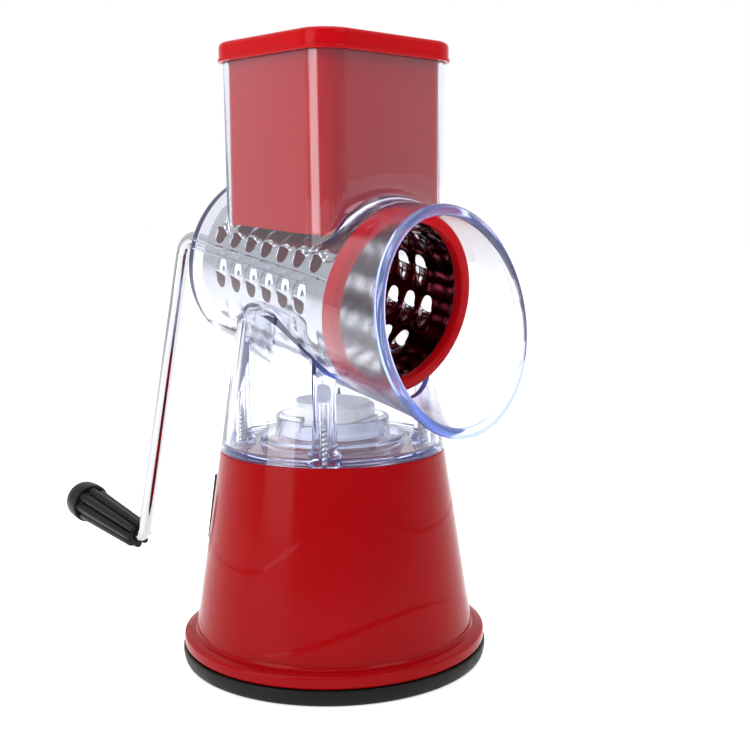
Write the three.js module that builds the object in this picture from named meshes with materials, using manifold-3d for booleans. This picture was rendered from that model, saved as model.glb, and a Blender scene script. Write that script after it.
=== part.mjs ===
// Rotary drum grater on a suction base, in millimetres, +Z up.
// Origin: centre of the base on the table. The mouth faces -Y, the crank is at +Y.
import * as THREE from 'three';
import { mergeVertices } from 'three/addons/utils/BufferGeometryUtils.js';
import Module from 'manifold-3d';

const wasm = await Module();
wasm.setup();

// ---------- Driving dimensions ----------

const GAP = 0.3; // clearance between pieces that touch

// Base: a rubber ring under a red cone; the ring's inner lip hooks up inside the cone's flange
const RING = { inner: 61, radius: 70.9, top: 7.4, lip: 65.2, lipTop: 12, soft: 1.3 };
const FLANGE = { inner: 65.5, radius: 70, top: 13.8, roof: 12.3, soft: 0.9 };
const CONE_FOOT = { z: 15.4, r: 64.1 };
const CONE_TOP = { z: 98, r: 51.2 };
const CONE_WALL = 2.5;
const DECK_TOP = 95.5; // plate that closes the top of the cone
const DECK_THICKNESS = 3;
const COLLAR = { inner: 14.4, outer: 20, top: 102.7 }; // bearing of the cam sleeve

// Clear housing: neck, barrel and chute in one piece
const TILT = THREE.MathUtils.degToRad(9.25); // the barrel slopes down to its mouth
const AXIS_HEIGHT = 173.1; // where the drum axis crosses the centre line
const HOUSING_WALL = 2.4;
const BARREL_BACK = -54; // positions along the drum axis, towards the mouth
const BARREL_FRONT = 96; // before the mouth is cut off on its slope
const BARREL_OUTLINE = [[BARREL_BACK, 40], [63, 42.4], [78, 43], [BARREL_FRONT, 44.8]];
const MOUTH = { s: 78.6, slope: THREE.MathUtils.degToRad(18.75), length: 60 };
const SHAFT_HOLE = 11.4;
const SHAFT_COLLAR = { radius: 15, length: 4 };
const CHUTE = { half: 37.5, corner: 13, wall: 2, foot: 182, roomFoot: 187, top: 269.4, y: -3.5 };
const COLUMN = { offset: 30, radius: 5, foot: 7, footTop: 104, pilot: 2.3, pilotTop: 124 };
const SPIGOT = { outer: 48.3, inner: 46.2, top: 101 };
// Clear floor of the neck: a plate, a raised platform, and a cup round the cam
const NECK_PLATE = { bottom: 98.3, top: 100.3, platform: 33, platformTop: 104, wall: 2 };
const CAM_CUP = { inner: 24.2, outer: 26, top: 112 };
const NECK_TOP = 172; // the neck ends inside the barrel

// Screws that hold the housing down
const SCREW = { radius: 1.95, head: 4, headHeight: 2.6, point: 5, tip: 119 };

// Suction clamp
const CUP = { radius: 54, rim: 1.1, shoulder: 2.2, middle: 3.2 };
const STEM = { radius: 5, foot: 16, footHeight: 2.2, top: 116.7 };
const SLEEVE = { bottom: 58, radius: 14, bore: 5.4, flange: 23.4, flangeTop: 106, rampRadius: 21.4 };
const RAMP = { count: 3, phase: 68, high: 113, low: 108.2, play: 0.4, notch: 2 };
const CAP = { radius: 19.4, top: 119, soft: 1.8 };
const LEVER = { z: 66, angle: 115, travel: 70, armWidth: 8, armHeight: 3.6, armStart: 9.5 };
const LEVER_SLOT = { half: 2.6, reach: 9 }; // reach in degrees beyond the arm at each end
const PADDLE = { height: 31, width: 17, clearance: 1.2, thickness: 3.4 };

// Drum, open at the mouth, carried by a hub that passes out of the back
const DRUM = { radius: 35, wall: 0.8, back: -48, front: 44, facets: 36 };
const HOLES = { radius: 3.4, first: -33.3, pitch: 11.1, short: 6 };
// Rows by angle. Every other row has one hole more and starts half a pitch further back. The
// two wider spaces are where the rolled sheet is joined.
const SHORT_ROWS = [19.4, 79.4, 126.3, 186.3, 246.3, 319.4];
const LONG_ROWS = [49.4, 156.3, 216.3, 289.4, 349.4];
const DRUM_RING = { outer: 39.3, lip: 34.2, back: 42, front: 49 };
const HUB = { plateBack: -47.5, plateFront: -44.5, shaft: 11, shaftEnd: -60, thread: 9.4, threadEnd: -72 };

// Crank, an S-shaped rod with a turning grip
const CRANK_HUB = { radius: 12.5, shoulder: -76, nose: 10, end: -80 };
const ROD = { radius: 3.5, start: -75, elbow: -116.6, arm: 166, bendTop: 10, bendLow: 6, spindle: 56 };
const CRANK_ANGLE = THREE.MathUtils.degToRad(-95.6);
const GRIP = { start: 7, end: 58, thin: 8, thick: 10, bore: 3.9, flutes: 8, fluteRadius: 2.4 };
const END_CAP = { radius: 11.3, end: 70 };

// Pusher: a hollow block that slides down the chute, under a lid
const PUSHER = { half: 34.2, corner: 8, wall: 2.2, arch: 39.5, frontFoot: 193.5, footSlope: 0.0786 };
const LID = { half: 39.2, corner: 14.5, bottom: 266.2, top: 274.3, plate: 3.9, edge: 2, skirt: 1.4 };

// ---------- Materials ----------

const MATERIALS = {
  redPlastic: { color: '#b9141c', roughness: 0.22, metalness: 0 },
  clearPlastic: { color: '#dfe6f5', roughness: 0.08, metalness: 0 },
  blackRubber: { color: '#1b1a1b', roughness: 0.55, metalness: 0 },
  blackPlastic: { color: '#1f1d20', roughness: 0.4, metalness: 0 },
  whitePlastic: { color: '#eceae6', roughness: 0.45, metalness: 0 },
  steel: { color: '#c9cbce', roughness: 0.14, metalness: 1 },
  chrome: { color: '#d9dadc', roughness: 0.08, metalness: 1 },
};

// ---------- Solids ----------

// Turns a closed geometry into a manifold solid with its faces outward.
function solid(geometry) {
  const bare = geometry.clone();
  bare.deleteAttribute('normal');
  bare.deleteAttribute('uv');
  const welded = mergeVertices(bare, 1e-4);
  const points = welded.getAttribute('position').array;
  const corner = (i) => new THREE.Vector3().fromArray(points, i * 3);
  const triangles = [];
  let volume = 0;
  for (let i = 0; i < welded.index.count; i += 3) {
    const [a, b, c] = [0, 1, 2].map((k) => welded.index.getX(i + k));
    if (a === b || b === c || c === a) continue;
    triangles.push([a, b, c]);
    volume += corner(a).dot(corner(b).cross(corner(c)));
  }
  const facing = volume < 0 ? triangles.map(([a, b, c]) => [a, c, b]) : triangles;
  return new wasm.Manifold(new wasm.Mesh({
    numProp: 3,
    vertProperties: Float32Array.from(points),
    triVerts: Uint32Array.from(facing.flat()),
  }));
}

const union = (...solids) => solids.reduce((whole, next) => whole.add(next));
const cut = (body, ...tools) => tools.reduce((rest, tool) => rest.subtract(tool), body);

// A solid of revolution about Z from a closed outline of [radius, z] points.
function turned(outline, segments = 40) {
  const points = [...outline, outline[0]].map(([r, z]) => new THREE.Vector2(r, z));
  return solid(new THREE.LatheGeometry(points, segments).rotateX(Math.PI / 2));
}

function disc(radius, low, high, segments = 32) {
  return turned([[0, low], [radius, low], [radius, high], [0, high]], segments);
}

// An upright prism of a shape between two heights.
function prism(shape, low, high, curveSegments = 5) {
  const options = { depth: high - low, bevelEnabled: false, curveSegments };
  return solid(new THREE.ExtrudeGeometry(shape, options).translate(0, 0, low));
}

function roundedSquare(half, corner, y = CHUTE.y) {
  const shape = new THREE.Shape();
  const quarter = Math.PI / 2;
  const inset = half - corner;
  for (const [i, [sx, sy]] of [[1, 1], [-1, 1], [-1, -1], [1, -1]].entries()) {
    shape.absarc(sx * inset, y + sy * inset, corner, i * quarter, (i + 1) * quarter);
  }
  shape.closePath();
  return shape;
}

// A piece of a ring between two radii and two angles in degrees.
function sector(inner, outer, from, to) {
  const [a, b] = [from, to].map(THREE.MathUtils.degToRad);
  const shape = new THREE.Shape();
  shape.absarc(0, 0, outer, a, b, false);
  shape.absarc(0, 0, inner, b, a, true);
  shape.closePath();
  return shape;
}

// The drum axis as local +Z, pointing out of the mouth, with local X across.
const drumFrame = new THREE.Matrix4()
  .makeTranslation(0, 0, AXIS_HEIGHT)
  .multiply(new THREE.Matrix4().makeRotationX(Math.PI / 2 + TILT));

const onDrumAxis = (body) => body.transform(drumFrame.elements);

function box(sizeX, sizeY, sizeZ, x, y, z) {
  return solid(new THREE.BoxGeometry(sizeX, sizeY, sizeZ).translate(x, y, z));
}

// Outer radius of the cone, and of the neck that carries its line on upward.
function taper(z) {
  const share = (z - CONE_FOOT.z) / (CONE_TOP.z - CONE_FOOT.z);
  return CONE_FOOT.r + share * (CONE_TOP.r - CONE_FOOT.r);
}

const diagonals = [[-1, -1], [1, -1], [1, 1], [-1, 1]];

// ---------- Base ----------

function footRing() {
  return turned([
    [RING.inner, 0], [RING.radius - RING.soft, 0], [RING.radius, 2 * RING.soft],
    [RING.radius, RING.top - 0.9], [RING.radius - 0.6, RING.top], [RING.lip, RING.top],
    [RING.lip, RING.lipTop], [RING.inner, RING.lipTop],
  ]);
}

function baseCone() {
  const deckBottom = DECK_TOP - DECK_THICKNESS;
  const seat = RING.top + GAP;
  const shell = turned([
    [FLANGE.inner, seat], [FLANGE.radius - FLANGE.soft, seat],
    [FLANGE.radius, seat + FLANGE.soft], [FLANGE.radius, FLANGE.top - 2 * FLANGE.soft],
    [FLANGE.radius - FLANGE.soft, FLANGE.top], [CONE_FOOT.r + 1.1, FLANGE.top + 0.5],
    [CONE_FOOT.r, CONE_FOOT.z],
    [CONE_TOP.r, CONE_TOP.z], [CONE_TOP.r - CONE_WALL, CONE_TOP.z],
    [CONE_TOP.r - CONE_WALL, DECK_TOP], [COLLAR.outer, DECK_TOP],
    [COLLAR.outer, COLLAR.top], [COLLAR.inner, COLLAR.top], [COLLAR.inner, deckBottom],
    [taper(deckBottom) - CONE_WALL, deckBottom], [CONE_FOOT.r - CONE_WALL, CONE_FOOT.z],
    [CONE_FOOT.r - CONE_WALL, FLANGE.roof], [FLANGE.inner, FLANGE.roof],
  ]);
  const holes = diagonals.map(([sx, sy]) => disc(SCREW.radius + GAP, deckBottom - 2, DECK_TOP + 2, 12)
    .translate(sx * COLUMN.offset, sy * COLUMN.offset, 0));
  const wall = taper(LEVER.z);
  const slotShape = sector(wall - 6, wall + 6, LEVER.angle - LEVER.travel - LEVER_SLOT.reach,
    LEVER.angle + LEVER_SLOT.reach);
  const slot = prism(slotShape, LEVER.z - LEVER_SLOT.half, LEVER.z + LEVER_SLOT.half, 14);
  return cut(shell, ...holes, slot);
}

// ---------- Clear housing ----------

function barrel(inset, back, front) {
  const radius = (s) => {
    const i = Math.max(1, BARREL_OUTLINE.findIndex(([end]) => end >= s));
    const [[s0, r0], [s1, r1]] = [BARREL_OUTLINE[i - 1], BARREL_OUTLINE[i]];
    return r0 + ((s - s0) / (s1 - s0)) * (r1 - r0) - inset;
  };
  const stations = BARREL_OUTLINE.map(([s]) => s).filter((s) => s > back && s < front);
  const wall = [back, ...stations, front].map((s) => [radius(s), s]);
  return onDrumAxis(turned([[0, back], ...wall, [0, front]]));
}

function neckRoom(foot) {
  const wallIn = (z) => taper(z) - HOUSING_WALL;
  const under = NECK_PLATE.platform - NECK_PLATE.wall;
  return turned([
    [0, foot - 1], [SPIGOT.inner, foot - 1], [SPIGOT.inner, NECK_PLATE.bottom],
    [under, NECK_PLATE.bottom], [under, NECK_PLATE.platformTop - NECK_PLATE.wall],
    [CAM_CUP.inner, NECK_PLATE.platformTop - NECK_PLATE.wall], [CAM_CUP.inner, CAM_CUP.top],
    [CAM_CUP.outer, CAM_CUP.top], [CAM_CUP.outer, NECK_PLATE.platformTop],
    [NECK_PLATE.platform, NECK_PLATE.platformTop], [NECK_PLATE.platform, NECK_PLATE.top],
    [SPIGOT.inner, NECK_PLATE.top], [SPIGOT.inner, SPIGOT.top], [wallIn(SPIGOT.top), SPIGOT.top],
    [wallIn(NECK_TOP), NECK_TOP], [0, NECK_TOP],
  ]);
}

// The same solid on each of the four columns' centre lines.
function onColumns(make) {
  return diagonals.map(([sx, sy]) => make().translate(sx * COLUMN.offset, sy * COLUMN.offset, 0));
}

function chuteBlock(inset, low, high) {
  return prism(roundedSquare(CHUTE.half - inset, CHUTE.corner - inset), low, high);
}

function clearHousing() {
  const base = CONE_TOP.z + GAP;
  const foot = DECK_TOP + GAP;
  const neck = turned([[0, base], [taper(base), base], [taper(NECK_TOP), NECK_TOP], [0, NECK_TOP]]);
  const spigot = disc(SPIGOT.outer, foot, SPIGOT.top, 40);
  const body = barrel(0, BARREL_BACK, BARREL_FRONT);
  const columns = onColumns(() => union(
    disc(COLUMN.radius, foot, NECK_TOP - 12, 14),
    disc(COLUMN.foot, foot, COLUMN.footTop, 14),
  ));
  const pilots = onColumns(() => disc(COLUMN.pilot, foot - 5, COLUMN.pilotTop, 10));
  const collarBack = BARREL_BACK - SHAFT_COLLAR.length;
  const shaftCollar = onDrumAxis(disc(SHAFT_COLLAR.radius, collarBack, BARREL_BACK + 1));
  const shaftHole = onDrumAxis(disc(SHAFT_HOLE, collarBack - 10, BARREL_BACK + 10));
  const barrelRoom = barrel(HOUSING_WALL, BARREL_BACK + HOUSING_WALL, BARREL_FRONT);
  const beyondMouth = box(120, 120, MOUTH.length, 0, 0, MOUTH.length / 2)
    .rotate([THREE.MathUtils.radToDeg(-MOUTH.slope), 0, 0])
    .translate(0, 0, MOUTH.s);
  const hollow = cut(neckRoom(foot), body, ...columns);
  const outer = cut(union(neck, spigot, chuteBlock(0, CHUTE.foot, CHUTE.top), body), hollow);
  return cut(union(outer, shaftCollar), barrelRoom,
    chuteBlock(CHUTE.wall, CHUTE.roomFoot, CHUTE.top + 10), shaftHole,
    onDrumAxis(beyondMouth), ...pilots);
}

function housingScrew() {
  const headTop = DECK_TOP - DECK_THICKNESS - GAP;
  return turned([
    [0, headTop - SCREW.headHeight], [SCREW.head * 0.6, headTop - SCREW.headHeight],
    [SCREW.head, headTop - 0.8], [SCREW.head, headTop], [SCREW.radius, headTop],
    [SCREW.radius, SCREW.tip - SCREW.point], [0, SCREW.tip],
  ], 10);
}

// ---------- Suction clamp ----------

function suctionCup() {
  return turned([[0, 0], [CUP.radius, 0], [CUP.radius, CUP.rim], [CUP.radius - 8, CUP.shoulder],
    [20, CUP.middle], [0, CUP.middle]]);
}

function suctionStem() {
  const foot = CUP.middle + GAP;
  return turned([[0, foot], [STEM.foot, foot], [STEM.foot, foot + STEM.footHeight],
    [STEM.radius, foot + STEM.footHeight + 2], [STEM.radius, STEM.top], [0, STEM.top]], 20);
}

// Everything under the ramps, which rise anticlockwise and drop by a step. Each ramp spans its
// share of the turn, less a notch between two ramps, or more for a cut that clears them.
function underRamps(inner, outer, bottom, lift, notch) {
  const turn = 360 / RAMP.count;
  const ramps = [];
  for (let i = 0; i < RAMP.count; i += 1) {
    const options = { depth: 1, bevelEnabled: false, curveSegments: 6 };
    const start = RAMP.phase + i * turn;
    const shape = sector(inner, outer, start + notch / 2, start + turn - notch / 2);
    const geometry = new THREE.ExtrudeGeometry(shape, options);
    const points = geometry.getAttribute('position');
    for (let k = 0; k < points.count; k += 1) {
      const angle = THREE.MathUtils.radToDeg(Math.atan2(points.getY(k), points.getX(k)));
      const fromMiddle = THREE.MathUtils.euclideanModulo(angle - start - turn / 2 + 180, 360) - 180;
      const rise = (RAMP.high - RAMP.low) * (0.5 + fromMiddle / turn);
      points.setZ(k, points.getZ(k) > 0.5 ? RAMP.low + rise + lift : bottom);
    }
    ramps.push(solid(geometry));
  }
  return union(...ramps);
}

function camSleeve() {
  const body = turned([
    [SLEEVE.bore, SLEEVE.bottom], [SLEEVE.radius, SLEEVE.bottom],
    [SLEEVE.radius, COLLAR.top + GAP], [SLEEVE.flange, COLLAR.top + GAP],
    [SLEEVE.flange, SLEEVE.flangeTop - 1], [SLEEVE.flange - 1.5, SLEEVE.flangeTop],
    [SLEEVE.bore, SLEEVE.flangeTop],
  ], 30);
  const ramps = underRamps(12, SLEEVE.rampRadius, SLEEVE.flangeTop - 1, 0, RAMP.notch);
  const room = LEVER.armWidth + 2 * GAP;
  const socket = box(20, room, LEVER.armHeight + 2 * GAP, 19, 0, LEVER.z)
    .rotate([0, 0, LEVER.angle]);
  return cut(union(body, ramps), socket);
}

function camFollower() {
  const cap = turned([[STEM.radius + GAP, RAMP.low - 1], [CAP.radius, RAMP.low - 1],
    [CAP.radius, CAP.top - CAP.soft], [CAP.radius - CAP.soft, CAP.top], [0, CAP.top],
    [0, STEM.top + GAP], [STEM.radius + GAP, STEM.top + GAP]], 30);
  const well = turned([[0, 100], [11.6, 100], [11.6, RAMP.high + 1], [0, RAMP.high + 1]], 30);
  const ramps = underRamps(11, CAP.radius + 4, 100, RAMP.play, -RAMP.notch);
  return cut(cap, ramps, cut(well, disc(8, 99, 120)));
}

function suctionLever() {
  const low = LEVER.z - PADDLE.height / 2;
  const high = LEVER.z + PADDLE.height / 2;
  const face = PADDLE.clearance;
  const back = PADDLE.clearance + PADDLE.thickness;
  const shell = turned([[taper(low) + face, low], [taper(low) + back, low],
    [taper(high) + back, high], [taper(high) + face, high]], 72);
  const paddle = shell.intersect(box(60, PADDLE.width, 60, 60, 0, LEVER.z)
    .rotate([0, 0, LEVER.angle]));
  const armEnd = taper(LEVER.z) + face + 1;
  const arm = box(armEnd - LEVER.armStart, LEVER.armWidth, LEVER.armHeight,
    (LEVER.armStart + armEnd) / 2, 0, LEVER.z).rotate([0, 0, LEVER.angle]);
  return union(paddle, arm);
}

// ---------- Drum ----------

function drumShell() {
  const inner = DRUM.radius - DRUM.wall;
  const tube = turned([[inner, DRUM.back], [DRUM.radius, DRUM.back],
    [DRUM.radius, DRUM.front], [inner, DRUM.front]], DRUM.facets);
  const punch = (angle, s) => solid(new THREE.CylinderGeometry(HOLES.radius, HOLES.radius, 6, 6)
    .rotateZ(Math.PI / 2).translate(DRUM.radius, 0, s)).rotate([0, 0, angle]);
  const row = (angle, first, count) => Array.from({ length: count },
    (_, i) => punch(angle, first + i * HOLES.pitch));
  return cut(tube,
    ...SHORT_ROWS.flatMap((angle) => row(angle, HOLES.first, HOLES.short)),
    ...LONG_ROWS.flatMap((angle) => row(angle, HOLES.first - HOLES.pitch / 2, HOLES.short + 1)));
}

function drumFrontRing() {
  const seat = DRUM.radius + GAP;
  return turned([[seat, DRUM_RING.back], [DRUM_RING.outer - 0.6, DRUM_RING.back],
    [DRUM_RING.outer, DRUM_RING.back + 0.8], [DRUM_RING.outer, DRUM_RING.front - 1],
    [DRUM_RING.outer - 1, DRUM_RING.front], [DRUM_RING.lip, DRUM_RING.front],
    [DRUM_RING.lip, DRUM.front + GAP], [seat, DRUM.front + GAP]]);
}

// The end plate sits inside the shell; its shaft leaves the housing and ends in a thread.
function drumHub() {
  const plate = DRUM.radius - DRUM.wall - GAP;
  return turned([
    [0, HUB.threadEnd], [HUB.thread - 1, HUB.threadEnd], [HUB.thread, HUB.threadEnd + 1],
    [HUB.thread, HUB.shaftEnd], [HUB.shaft, HUB.shaftEnd], [HUB.shaft, HUB.plateBack],
    [plate, HUB.plateBack], [plate, HUB.plateFront], [0, HUB.plateFront],
  ], DRUM.facets);
}

// ---------- Crank ----------

function crankHub() {
  const front = HUB.shaftEnd - GAP;
  return turned([
    [HUB.thread + GAP, front], [CRANK_HUB.radius - 1, front], [CRANK_HUB.radius, front - 1],
    [CRANK_HUB.radius, CRANK_HUB.shoulder], [CRANK_HUB.nose, CRANK_HUB.end],
    [ROD.radius + GAP, CRANK_HUB.end], [ROD.radius + GAP, ROD.start + GAP],
    [0, ROD.start + GAP], [0, HUB.threadEnd - GAP], [HUB.thread + GAP, HUB.threadEnd - GAP],
  ], 24);
}

// Foot of the crank arm, on the grip's axis, in the drum frame.
const armFoot = new THREE.Vector3(
  ROD.arm * Math.cos(CRANK_ANGLE),
  ROD.arm * Math.sin(CRANK_ANGLE),
  ROD.elbow,
);

function crankRod() {
  const start = new THREE.Vector3(0, 0, ROD.start);
  const elbow = new THREE.Vector3(0, 0, ROD.elbow);
  const end = armFoot.clone().add(new THREE.Vector3(0, 0, -ROD.spindle));
  const along = (from, to, distance) => to.clone().sub(from).setLength(distance).add(from);
  const path = new THREE.CurvePath();
  const bendIn = along(elbow, start, ROD.bendTop);
  const bendOut = along(elbow, armFoot, ROD.bendTop);
  const lowIn = along(armFoot, elbow, ROD.bendLow);
  const lowOut = along(armFoot, end, ROD.bendLow);
  path.add(new THREE.LineCurve3(start, bendIn));
  path.add(new THREE.QuadraticBezierCurve3(bendIn, elbow, bendOut));
  path.add(new THREE.LineCurve3(bendOut, lowIn));
  path.add(new THREE.QuadraticBezierCurve3(lowIn, armFoot, lowOut));
  path.add(new THREE.LineCurve3(lowOut, end));
  const section = new THREE.Shape().absarc(0, 0, ROD.radius, 0, 2 * Math.PI);
  const options = { steps: 52, extrudePath: path, curveSegments: 4 };
  return solid(new THREE.ExtrudeGeometry(section, options));
}

// The grip pieces are made about their own axis, with local +Z back along the spindle.
function handleGrip() {
  const middle = (GRIP.start + GRIP.end) / 2;
  const body = turned([[GRIP.bore, GRIP.start], [GRIP.thin - 1, GRIP.start],
    [GRIP.thin, GRIP.start + 1.5], [GRIP.thick, GRIP.end], [GRIP.bore, GRIP.end]], 32);
  const lean = Math.atan((GRIP.thick - GRIP.thin) / (GRIP.end - GRIP.start));
  const grooves = [];
  for (let i = 0; i < GRIP.flutes; i += 1) {
    const groove = new THREE.CylinderGeometry(GRIP.fluteRadius, GRIP.fluteRadius, 60, 10);
    groove.rotateX(Math.PI / 2).rotateY(lean);
    groove.translate((GRIP.thin + GRIP.thick) / 2 + 1, 0, middle);
    grooves.push(solid(groove).rotate([0, 0, (i * 360) / GRIP.flutes]));
  }
  return cut(body, ...grooves);
}

function handleEndCap() {
  const start = GRIP.end + GAP;
  return turned([[0, start], [END_CAP.radius - 1, start], [END_CAP.radius, start + 1],
    [END_CAP.radius, start + 5], [END_CAP.radius * 0.9, END_CAP.end - 3.4],
    [END_CAP.radius * 0.6, END_CAP.end - 1], [0, END_CAP.end]], 24);
}

// ---------- Pusher ----------

function pusherBody() {
  const top = LID.top - LID.plate - GAP;
  const lean = Math.atan(PUSHER.footSlope);
  const block = prism(roundedSquare(PUSHER.half, PUSHER.corner), 180, top);
  const arch = onDrumAxis(disc(PUSHER.arch, -80, 80, 40));
  const below = box(100, 100, 60, 0, 0, -30)
    .rotate([THREE.MathUtils.radToDeg(lean), 0, 0])
    .translate(0, CHUTE.y - PUSHER.half, PUSHER.frontFoot);
  const inset = PUSHER.half - PUSHER.wall;
  const room = prism(roundedSquare(inset, PUSHER.corner - PUSHER.wall), 203, top + 5);
  const floor = onDrumAxis(disc(PUSHER.arch + PUSHER.wall, -80, 80, 40));
  return cut(block, arch, below, cut(room, floor));
}

function pusherLid() {
  const plateBottom = LID.top - LID.plate;
  const depth = LID.top - LID.bottom - LID.edge;
  const outline = roundedSquare(LID.half - LID.edge, LID.corner - LID.edge);
  const bevel = { bevelThickness: LID.edge, bevelSize: LID.edge, bevelSegments: 3 };
  const options = { depth, bevelEnabled: true, curveSegments: 5, ...bevel };
  const block = solid(new THREE.ExtrudeGeometry(outline, options).translate(0, 0, LID.bottom));
  const skirtFill = prism(roundedSquare(LID.half, LID.corner), LID.bottom, LID.top - 3);
  const trim = box(120, 120, 10, 0, 0, LID.bottom - 5);
  const room = prism(roundedSquare(LID.half - LID.skirt, LID.corner - LID.skirt),
    LID.bottom - 5, plateBottom);
  return cut(union(block, skirtFill), trim, room);
}

// ---------- Assembly ----------

function piece(name, body, look) {
  const made = body.getMesh();
  const geometry = new THREE.BufferGeometry();
  geometry.setAttribute('position', new THREE.BufferAttribute(made.vertProperties, 3));
  geometry.setIndex(new THREE.BufferAttribute(made.triVerts, 1));
  geometry.computeVertexNormals();
  const mesh = new THREE.Mesh(geometry, new THREE.MeshStandardMaterial(MATERIALS[look]));
  mesh.name = name;
  return mesh;
}

const grater = new THREE.Group();
grater.add(
  piece('foot_ring', footRing(), 'blackRubber'),
  piece('base_cone', baseCone(), 'redPlastic'),
  piece('clear_housing', clearHousing(), 'clearPlastic'),
  piece('suction_cup', suctionCup(), 'blackRubber'),
  piece('suction_stem', suctionStem(), 'steel'),
  piece('cam_sleeve', camSleeve(), 'whitePlastic'),
  piece('cam_follower', camFollower(), 'whitePlastic'),
  piece('suction_lever', suctionLever(), 'blackPlastic'),
  piece('pusher_body', pusherBody(), 'redPlastic'),
  piece('pusher_lid', pusherLid(), 'redPlastic'),
);

for (const [i, [sx, sy]] of diagonals.entries()) {
  const screw = piece(`housing_screw_${i + 1}`, housingScrew(), 'steel');
  screw.position.set(sx * COLUMN.offset, sy * COLUMN.offset, 0);
  grater.add(screw);
}

const drum = new THREE.Group();
drum.position.set(0, 0, AXIS_HEIGHT);
drum.rotation.x = Math.PI / 2 + TILT;
drum.add(
  piece('drum_shell', drumShell(), 'steel'),
  piece('drum_front_ring', drumFrontRing(), 'redPlastic'),
  piece('drum_hub', drumHub(), 'redPlastic'),
  piece('crank_hub', crankHub(), 'redPlastic'),
  piece('crank_rod', crankRod(), 'chrome'),
);
grater.add(drum);

const handle = new THREE.Group();
handle.position.copy(armFoot);
handle.rotation.y = Math.PI;
handle.add(
  piece('handle_grip', handleGrip(), 'blackPlastic'),
  piece('handle_end_cap', handleEndCap(), 'blackPlastic'),
);
drum.add(handle);

export default grater;
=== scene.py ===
# %% [markdown]
# # A rotary drum grater
# The grater is a red suction base, a clear plastic housing, a punched steel drum on a crank, and a
# square pusher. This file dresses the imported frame: each visible piece is modelled again with
# finer curves, in the same place, and rides on the same moving body.

# %% Load the frame
import math

import bmesh
import bpy
from mathutils import Matrix, Vector


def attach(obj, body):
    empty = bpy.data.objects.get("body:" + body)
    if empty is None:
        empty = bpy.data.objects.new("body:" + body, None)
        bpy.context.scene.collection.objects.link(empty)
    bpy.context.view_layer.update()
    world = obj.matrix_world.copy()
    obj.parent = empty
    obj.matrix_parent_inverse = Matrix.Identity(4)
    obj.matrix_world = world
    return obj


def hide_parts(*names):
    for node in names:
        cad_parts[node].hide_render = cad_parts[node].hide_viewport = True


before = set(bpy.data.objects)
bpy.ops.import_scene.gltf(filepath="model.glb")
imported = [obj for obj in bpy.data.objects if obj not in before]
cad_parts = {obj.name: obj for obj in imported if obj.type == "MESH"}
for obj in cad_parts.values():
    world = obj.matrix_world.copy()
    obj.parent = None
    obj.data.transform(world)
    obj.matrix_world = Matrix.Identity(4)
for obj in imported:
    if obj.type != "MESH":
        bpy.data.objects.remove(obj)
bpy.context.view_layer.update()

# %% [markdown]
# The camera comes first, so that every later look is through it. It stands in front of the mouth
# on the left, a little above the drum, and a small lens shift sets the grater in the frame.

# %% Camera
AZIMUTH = math.radians(-43.87)
ELEVATION = math.radians(11.05)
DISTANCE = 0.5395

right = Vector((math.cos(AZIMUTH), math.sin(AZIMUTH), 0))
back = Vector((
    math.sin(AZIMUTH) * math.cos(ELEVATION),
    -math.cos(AZIMUTH) * math.cos(ELEVATION),
    math.sin(ELEVATION),
))
look_at = Vector((0, 0, 0.0983)) + right * 0.0331

lens = bpy.data.cameras.new("camera")
lens.lens = 56.3
lens.sensor_width = 36
lens.shift_x = -0.04
lens.shift_y = 0.0932
camera = bpy.data.objects.new("camera", lens)
camera.location = look_at + back * DISTANCE
camera.rotation_euler = back.to_track_quat("Z", "Y").to_euler()
bpy.context.scene.collection.objects.link(camera)
bpy.context.scene.camera = camera
print("camera at", [round(v, 3) for v in camera.location])

# %% [markdown]
# Most pieces here are turned or moulded, so they start from an outline. A real moulded edge is
# never sharp: `fillet` replaces each corner of an outline by a small arc. An outline is a list of
# (radius, height, fillet) in millimetres, which reads like a drawing.

# %% Outlines
MM = 0.001


def fillet(corners, steps=4, closed=True):
    """The outline's points, with each corner that has a fillet turned into an arc."""
    points = []
    count = len(corners)
    for i, (x, z, size) in enumerate(corners):
        here = Vector((x, z))
        if not size or (not closed and i in (0, count - 1)):
            points.append(here)
            continue
        before = Vector(corners[i - 1][:2])
        after = Vector(corners[(i + 1) % count][:2])
        start = here + (before - here).normalized() * size
        end = here + (after - here).normalized() * size
        for k in range(steps + 1):
            t = k / steps
            points.append(start * (1 - t) ** 2 + here * 2 * t * (1 - t) + end * t**2)
    return points


def turned(corners, steps=160, closed=True, arc=4):
    """A solid of revolution about Z, spun from a filleted outline."""
    bm = bmesh.new()
    points = fillet(corners, arc, closed)
    ring = [bm.verts.new((p.x, 0, p.y)) for p in points]
    last = len(ring) if closed else len(ring) - 1
    edges = [bm.edges.new((ring[i], ring[(i + 1) % len(ring)])) for i in range(last)]
    bmesh.ops.spin(
        bm, geom=ring + edges, cent=(0, 0, 0), axis=(0, 0, 1), angle=math.tau, steps=steps,
        use_merge=True,
    )
    bmesh.ops.remove_doubles(bm, verts=bm.verts, dist=1e-4)
    bmesh.ops.recalc_face_normals(bm, faces=bm.faces)
    return bm


print("outline helpers ready")

# %% [markdown]
# The chute, the pusher and its lid are rounded squares. One quad whose corners are bevelled gives
# the outline, and extruding it gives the block.

# %% Rounded blocks
CHUTE_Y = -3.5
CHUTE_HALF = 37.5
CHUTE_CORNER = 13


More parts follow.
